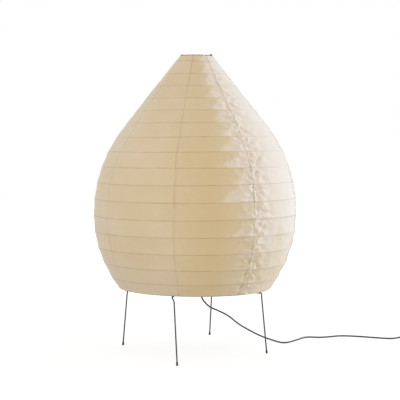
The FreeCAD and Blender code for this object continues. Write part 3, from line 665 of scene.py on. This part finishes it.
def paper_field(azimuth, row, seams):
    """Points of the paper's outer face and the painted highlights of its facets, for arrays of azimuths in
    degrees and of rows, near some seams."""
    band = band_of(row)
    share = row - band
    run = OUTLINE[band + 1] - OUTLINE[band]
    radius, height = np.moveaxis(OUTLINE[band] + run * share[..., None], -1, 0)
    length = np.hypot(run[..., 0], run[..., 1])
    out_r = -run[..., 1] / length
    out_z = run[..., 0] / length
    arch = 4.0 * share * (1.0 - share)
    full = np.clip(radius / FULL_RADIUS, LEAST_FULL, 1.0)

    crumple = np.zeros_like(radius)
    tone = np.zeros_like(radius)
    down_paper = OUTLINE_RUN[band] + share * length
    for seam in seams:
        seam_azimuth = SEAM_AZIMUTH + GORE_SPAN * seam + seam_wander(seam, row)
        aside = np.radians(wrapped(azimuth - seam_azimuth)) * radius
        facet_height, facet_highlight = crumple_facets(seam, aside, down_paper, radius)
        crumple += facet_height + fold_heights(seam, aside, row, length)
        tone += facet_highlight
    crumple = crumple * np.clip(3.0 * arch, 0.0, 1.0) * full

    shift = crumple - paper_inset(azimuth, row) * arch * full
    tilt = tilt_at(height)
    radius = radius + out_r * shift
    height = height + out_z * shift
    angle = np.radians(azimuth)
    x = radius * np.cos(angle)
    y = radius * np.sin(angle)
    return np.stack([x, y, height + tilt * x + wave_at(row, azimuth)], axis=-1), tone


# ---- the paper's sheets ---------------------------------------------------
def shell_faces(columns, rows):
    """Quads of an outer and an inner grid of columns x rows points, closed round their edges."""
    offset = columns * rows
    faces = []

    def at(layer, column, row):
        return layer * offset + column * rows + row

    for column in range(columns - 1):
        for row in range(rows - 1):
            outer = (at(0, column, row), at(0, column, row + 1),
                     at(0, column + 1, row + 1), at(0, column + 1, row))
            faces.append(outer)
            faces.append(tuple(index + offset for index in reversed(outer)))
    for row in range(rows - 1):
        faces.append((at(0, 0, row), at(1, 0, row), at(1, 0, row + 1), at(0, 0, row + 1)))
        faces.append((at(0, columns - 1, row + 1), at(1, columns - 1, row + 1),
                      at(1, columns - 1, row), at(0, columns - 1, row)))
    for column in range(columns - 1):
        faces.append((at(0, column + 1, 0), at(1, column + 1, 0), at(1, column, 0), at(0, column, 0)))
        faces.append((at(0, column, rows - 1), at(1, column, rows - 1),
                      at(1, column + 1, rows - 1), at(0, column + 1, rows - 1)))
    return faces


def add_attribute(mesh, name, values, kind="FLOAT", domain="POINT"):
    layer = mesh.attributes.new(name, kind, domain)
    key = "vector" if kind == "FLOAT_VECTOR" else "value"
    layer.data.foreach_set(key, np.asarray(values, np.float32).ravel())


def new_object(name, points, faces):
    mesh = bpy.data.meshes.new(name)
    mesh.from_pydata([tuple(point) for point in points], [], faces)
    mesh.validate()
    obj = bpy.data.objects.new(name, mesh)
    bpy.context.scene.collection.objects.link(obj)
    return obj


def gore_grid(index):
    """Azimuth and row of each point of a sheet, its lap's columns first, and its first seam's azimuths."""
    rows = np.array([band + step for band in range(BANDS) for step in PAPER_ROW_STEPS] + [float(BANDS)])
    even = np.linspace(0.0, 1.0, PAPER_COLUMNS + 1)[1:]
    own_at = even - COLUMNS_GATHER * np.sin(2 * np.pi * even) / (2 * np.pi)
    start = SEAM_AZIMUTH + GORE_SPAN * index
    first = start + seam_wander(index, rows)
    last = start + GORE_SPAN + seam_wander(index + 1, rows)
    lap = [first + step for step in np.linspace(-LAP_DEG, 0.0, LAP_COLUMNS + 1)]
    own = [first + (last - first) * step for step in own_at]
    azimuth = np.array(lap + own)
    return azimuth, np.tile(rows, (len(azimuth), 1)), first


def painted_light_share(turned, row):
    """How much painted light turns the paper pale: from a slanting edge in each band, up to where it ends
    at the right.
    """
    band = band_of(row)
    slant = PALE_SLANT * (row - band - 0.5)
    begins = np.clip(0.5 + (turned - PALE_EDGES[band] + slant) / PALE_FADE, 0.0, 1.0)
    ends = np.clip((PALE_END - turned) / (2.0 * PALE_FADE), 0.0, 1.0)
    return begins * ends * np.clip((PALE_LAST_ROW - row) / PALE_LAST_FADE, 0.0, 1.0)


# painted light: how much of the warm glow through the paper is painted at each point
def painted_glow_share(turned, row, index):
    painted_glow = np.exp(-((turned - GOLDEN_AZIMUTH) / GOLDEN_WIDTH) ** 2)
    painted_glow = painted_glow * np.clip(row / GOLDEN_ROW, GOLDEN_LEAST, 1.0)
    return painted_glow * (1.0 if index == 0 else GOLDEN_ASIDE)


def hoop_clearness(azimuth, row, pale):
    """How clearly the hoops show through the paper: less at the sides and where it is painted pale with
    light.
    """
    facing = np.abs(np.sin(np.radians(azimuth)))
    lower = np.clip((row / BANDS - LOWER_FROM) / LOWER_OVER, 0.0, 1.0)
    at_sides = 1.0 - SIDE_LOSS * (1.0 - facing) ** SIDE_CURVE * (1.0 - LOWER_GAIN * lower)
    return at_sides * (1.0 - PALE_LOSS * pale * (1.0 - lower))


def gore_looks(index, azimuth, row, first, radius, facet_highlight):
    """What the paper's material reads at each point of a sheet, by name."""
    band = band_of(row)
    run = OUTLINE[band + 1] - OUTLINE[band]
    pitch = np.hypot(run[..., 0], run[..., 1])
    to_hoop = np.minimum(row - band, 1.0 - (row - band)) * pitch
    to_hoop[:, :EDGE_ROWS] = np.maximum(to_hoop[:, :EDGE_ROWS], NO_HOOP)
    to_hoop[:, -EDGE_ROWS:] = np.maximum(to_hoop[:, -EDGE_ROWS:], NO_HOOP)
    lap = np.zeros_like(azimuth)
    lap[:LAP_COLUMNS + 1] = 1.0
    turned = wrapped(azimuth)
    pale = painted_light_share(turned, row)
    return {
        "hoop_gap": to_hoop,
        "seam_gap": np.radians(np.abs(azimuth - (first - LAP_DEG))) * radius,
        "edge_gap": np.minimum(row * pitch, (BANDS - row) * pitch),
        "lap": lap,
        "facet_highlight": facet_highlight * np.clip((BANDS - row) / TONE_ROWS, TONE_LEAST, 1.0),
        "painted_light_part": pale,
        "painted_glow": painted_glow_share(turned, row, index),
        "shown": hoop_clearness(azimuth, row, pale),
        "seam_shown": np.full_like(azimuth, SEAM_LINE[index]),
    }


def panel_tones(mesh, row, index):
    """A tone for each quad of a sheet, one to a band."""
    tones = np.random.default_rng(SEED + 10 + index).uniform(0.0, 1.0, BANDS)
    corners = np.zeros(len(mesh.loops), np.int32)
    mesh.loops.foreach_get("vertex_index", corners)
    both_faces = np.concatenate([row.ravel(), row.ravel()])
    return tones[band_of(both_faces[corners].reshape(-1, 4).mean(axis=1))]


def make_gore(index):
    """One sheet of paper: its lap over the sheet before it, then its own width."""
    azimuth, row, first = gore_grid(index)
    outer, facet_highlight = paper_field(azimuth, row, (index, (index + 1) % GORE_COUNT))
    angle = np.radians(azimuth)
    out = np.stack([np.cos(angle), np.sin(angle), np.zeros_like(azimuth)], -1)
    lift = np.zeros((len(azimuth), 1, 1))
    lift[:LAP_COLUMNS] = PAPER_T + GLUE_T
    lift[LAP_COLUMNS] = 0.5 * (PAPER_T + GLUE_T)
    outer = outer + out * lift
    inner = outer - out * PAPER_T
    points = np.concatenate([outer.reshape(-1, 3), inner.reshape(-1, 3)])
    obj = new_object("paper_sheet_%d" % (index + 1), points, shell_faces(*azimuth.shape))

    mesh = obj.data
    radius = np.hypot(outer[..., 0], outer[..., 1])
    for name, values in gore_looks(index, azimuth, row, first, radius, facet_highlight).items():
        add_attribute(mesh, name, np.concatenate([values.ravel(), values.ravel()]))
    add_attribute(mesh, "rest", points, "FLOAT_VECTOR")
    add_attribute(mesh, "panel_tone", panel_tones(mesh, row, index), "FLOAT", "FACE")
    mesh.shade_smooth()
    mesh.set_sharp_from_angle(angle=math.radians(PAPER_SHARP))
    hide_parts("gore_%d" % (index + 1))
    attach(obj, "shade")
    wear(obj, "paper")
    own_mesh(obj)
    return obj


# ---- the hoops ------------------------------------------------------------
def sharpened(wave):
    """A sine or cosine drawn towards a square's, for the round corners of a strip."""
    return np.sign(wave) * np.abs(wave) ** CORNER_POWER


def make_hoop(number, name, low, high):
    """A hoop of split bamboo: an overlap where its ends meet, the cane's knuckles, and the paper's tilt."""
    draw = np.random.default_rng(SEED + 40 + number)
    thick = (high.z - low.z) / 2
    centre_r = high.x - thick
    middle = (low.z + high.z) / 2
    angle = np.linspace(0.0, 2 * np.pi, HOOP_STEPS, endpoint=False)[:, None]
    around = np.linspace(0.0, 2 * np.pi, HOOP_SIDES, endpoint=False)[None, :]

    def gap_to(place):
        return np.abs((angle - place + np.pi) % (2 * np.pi) - np.pi) * centre_r

    overlap = np.clip((HOOP_OVERLAP - gap_to(draw.uniform(0.0, 2 * np.pi))) / OVERLAP_FADE, 0.0, 1.0)
    count = int(2 * np.pi * centre_r / KNUCKLE_PITCH)
    shifts = draw.uniform(-KNUCKLE_SHIFT, KNUCKLE_SHIFT, count)
    places = 2 * np.pi * (np.arange(count) + shifts) / count
    knuckle = sum(np.exp(-(gap_to(place) / KNUCKLE_LENGTH) ** 2) for place in places)
    inner = thick * (STRIP_IN + OVERLAP_SWELL * overlap + KNUCKLE_SWELL * knuckle)
    side = sharpened(np.cos(around))
    radius = centre_r + np.where(side > 0.0, STRIP_OUT * thick, inner) * side
    x = radius * np.cos(angle)
    y = radius * np.sin(angle)
    z = middle + thick * (STRIP_HIGH + KNUCKLE_HIGH * knuckle) * sharpened(np.sin(around))
    z = z + tilt_at(middle) * x + wave_at(np.full_like(angle, float(number)), np.degrees(angle))
    points = np.stack([x, y, z], -1).reshape(-1, 3)
    faces = []
    for step in range(HOOP_STEPS):
        after = (step + 1) % HOOP_STEPS
        for turn in range(HOOP_SIDES):
            beside = (turn + 1) % HOOP_SIDES
            faces.append((step * HOOP_SIDES + turn, after * HOOP_SIDES + turn,
                          after * HOOP_SIDES + beside, step * HOOP_SIDES + beside))
    obj = new_object("bamboo_hoop_%02d" % number, points, faces)
    obj.data.shade_smooth()
    obj.data.set_sharp_from_angle(angle=math.radians(HOOP_SHARP))
    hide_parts(name)
    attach(obj, "hoop_body_%02d" % number)
    wear(obj, "bamboo")
    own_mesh(obj)
    return obj


# ---- the cord -------------------------------------------------------------
def coil_point(turn_angle, lean):
    """A point of the coil about its own centre, wound clockwise from the lead."""
    slope = COIL_PITCH / (2 * math.pi)
    inward = 2 * math.pi * COIL_TURNS_IN
    inner_r = COIL_OUTER_R - COIL_PITCH * COIL_TURNS_IN
    if turn_angle <= inward:
        radius = COIL_OUTER_R - slope * turn_angle
        rise = 0.0
    elif turn_angle <= inward + math.pi:
        share = (turn_angle - inward) / math.pi
        radius = inner_r
        rise = COIL_LAYER * (3 * share ** 2 - 2 * share ** 3)
    else:
        radius = inner_r + slope * (turn_angle - inward - math.pi)
        rise = COIL_LAYER
    radius = radius / math.cos(math.pi / COIL_POINTS)
    azimuth = math.pi / 2 - turn_angle + lean
    return radius * math.cos(azimuth), radius * math.sin(azimuth), rise


def cord_points():
    points = list(CORD_ROUTE)
    lead_x, lead_y, lead_z = CORD_ROUTE[-1]
    lean = math.atan(COIL_PITCH / (2 * math.pi * COIL_OUTER_R))
    centre_x = lead_x + CORD_STUB + COIL_OUTER_R * math.sin(lean)
    centre_y = lead_y - COIL_OUTER_R * math.cos(lean)
    turns = 2 * COIL_TURNS_IN + 0.5
    count = int(turns * COIL_POINTS)
    for index in range(count):
        turn_angle = 2 * math.pi * (index + 0.5) / COIL_POINTS
        x, y, rise = coil_point(turn_angle, lean)
        points.append((centre_x + x, centre_y + y, lead_z + rise))
    end_z = lead_z + COIL_LAYER
    end_y = centre_y - COIL_OUTER_R * math.cos(lean)
    points.append((lead_x + CORD_STUB, end_y, end_z))
    points.append((lead_x, end_y, end_z))
    points.append((lead_x - 0.8 * CORD_STUB, end_y, end_z))
    return points


def make_cord():
    points = cord_points()
    curve = bpy.data.curves.new("cord", "CURVE")
    curve.dimensions = "3D"
    spline = curve.splines.new("NURBS")
    spline.points.add(len(points) - 1)
    for knot, point in zip(spline.points, points):
        knot.co = (*point, 1.0)
        knot.radius = CORD_R
    spline.order_u = 3
    spline.use_endpoint_u = True
    spline.resolution_u = 8
    curve.bevel_depth = 1.0      # times each point's own radius
    curve.bevel_resolution = 4
    curve.use_fill_caps = True
    cord = bpy.data.objects.new("mains_cord", curve)
    bpy.context.scene.collection.objects.link(cord)
    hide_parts("cord_to_switch", "cord_to_coil", "cord_coil")
    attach(cord, "stand")
    wear(cord, "cord")
    return cord


# ---- carried-over nodes ---------------------------------------------------
def dress_nodes():
    for part in RECORD["subparts"]:
        obj = NODES[part["node"]]
        wear(obj, part["material_slot"])
        smooth(obj)


# ---- floor, light and camera ----------------------------------------------
def make_floor():
    paint = Painter("floor")
    corners = [(x * FLOOR_HALF, y * FLOOR_HALF, 0) for x, y in ((-1, -1), (1, -1), (1, 1), (-1, 1))]
    floor = new_object("floor", corners, [(0, 1, 2, 3)])
    paint.set(Base_Color=rgb(0.78, 0.76, 0.73), Roughness=0.9)
    white = paint.node("ShaderNodeEmission")
    white.inputs["Strength"].default_value = 1.2
    away = paint.node("ShaderNodeVectorMath", operation="LENGTH")
    paint.feed(away.inputs[0], paint.place())
    path = paint.node("ShaderNodeLightPath")
    seen = paint.math("MAXIMUM", path.outputs["Is Camera Ray"], path.outputs["Is Glossy Ray"])
    seen = paint.math("MAXIMUM", seen, path.outputs["Is Transmission Ray"])
    share = paint.math("MULTIPLY", seen, paint.span(away.outputs["Value"], 0.6, 1.5, 0.7, 1.0))
    blend = paint.node("ShaderNodeMixShader")
    paint.feed(blend.inputs[0], share)
    paint.links.new(paint.shader.outputs[0], blend.inputs[1])
    paint.links.new(white.outputs[0], blend.inputs[2])
    paint.links.new(blend.outputs[0], paint.nodes["Material Output"].inputs["Surface"])
    floor.data.materials.append(paint.material)


def make_world():
    world = bpy.data.worlds.new("studio")
    world.use_nodes = True
    bpy.context.scene.world = world
    nodes = world.node_tree.nodes
    links = world.node_tree.links
    fill = nodes["Background"]
    fill.inputs["Strength"].default_value = 1.0
    place = nodes.new("ShaderNodeTexCoord")
    axes = nodes.new("ShaderNodeSeparateXYZ")
    links.new(place.outputs["Generated"], axes.inputs[0])
    behind = nodes.new("ShaderNodeMapRange")
    behind.inputs["From Min"].default_value = -0.7
    behind.inputs["From Max"].default_value = 0.3
    links.new(axes.outputs["Y"], behind.inputs["Value"])
    room = nodes.new("ShaderNodeMix")
    room.data_type = "RGBA"
    room.inputs[6].default_value = rgb(*ROOM_FRONT)
    room.inputs[7].default_value = rgb(*ROOM_BACK)
    links.new(behind.outputs["Result"], room.inputs[0])
    links.new(room.outputs[2], fill.inputs["Color"])
    white = nodes.new("ShaderNodeBackground")
    white.inputs["Color"].default_value = rgb(1.0, 1.0, 1.0)
    white.inputs["Strength"].default_value = 1.0
    path = nodes.new("ShaderNodeLightPath")
    seen = nodes.new("ShaderNodeMath")
    seen.operation = "MAXIMUM"
    links.new(path.outputs["Is Camera Ray"], seen.inputs[0])
    links.new(path.outputs["Is Glossy Ray"], seen.inputs[1])
    blend = nodes.new("ShaderNodeMixShader")
    links.new(seen.outputs[0], blend.inputs[0])
    links.new(fill.outputs[0], blend.inputs[1])
    links.new(white.outputs[0], blend.inputs[2])
    links.new(blend.outputs[0], nodes["World Output"].inputs["Surface"])


def make_light(name, place, size, watts, colour):
    """A round soft light that points at the lamp's middle."""
    light = bpy.data.lights.new(name, "AREA")
    light.shape = "DISK"
    light.size = size
    light.energy = watts
    light.color = colour
    obj = bpy.data.objects.new(name, light)
    bpy.context.scene.collection.objects.link(obj)
    obj.location = place
    aim = Vector(LAMP_MIDDLE) - Vector(place)
    obj.rotation_euler = aim.to_track_quat("-Z", "Y").to_euler()


def make_camera():
    camera = bpy.data.cameras.new("camera")
    camera.sensor_width = 36.0
    camera.lens = CAMERA_LENS
    obj = bpy.data.objects.new("camera", camera)
    bpy.context.scene.collection.objects.link(obj)
    obj.location = CAMERA_PLACE
    pitch = Matrix.Rotation(math.radians(90.0 - CAMERA_DOWN), 3, "X")
    roll = Matrix.Rotation(math.radians(CAMERA_ROLL), 3, "Z")
    obj.rotation_euler = (pitch @ roll).to_euler()
    bpy.context.scene.camera = obj


bpy.context.scene.view_settings.view_transform = "Standard"
dress_nodes()
for gore in range(GORE_COUNT):
    make_gore(gore)
for number, (name, low, high) in enumerate(hoop_boxes(), 1):
    make_hoop(number, name, low, high)
make_cord()
make_floor()
make_world()
make_light("key", place=(2.5, 0.5, 1.1), size=1.2, watts=31.5, colour=(0.78, 0.90, 1.0))
make_light("fill", place=(-1.2, -2.6, 1.6), size=2.2, watts=16.0, colour=(1.0, 0.84, 0.58))
make_camera()
bpy.context.view_layer.update()
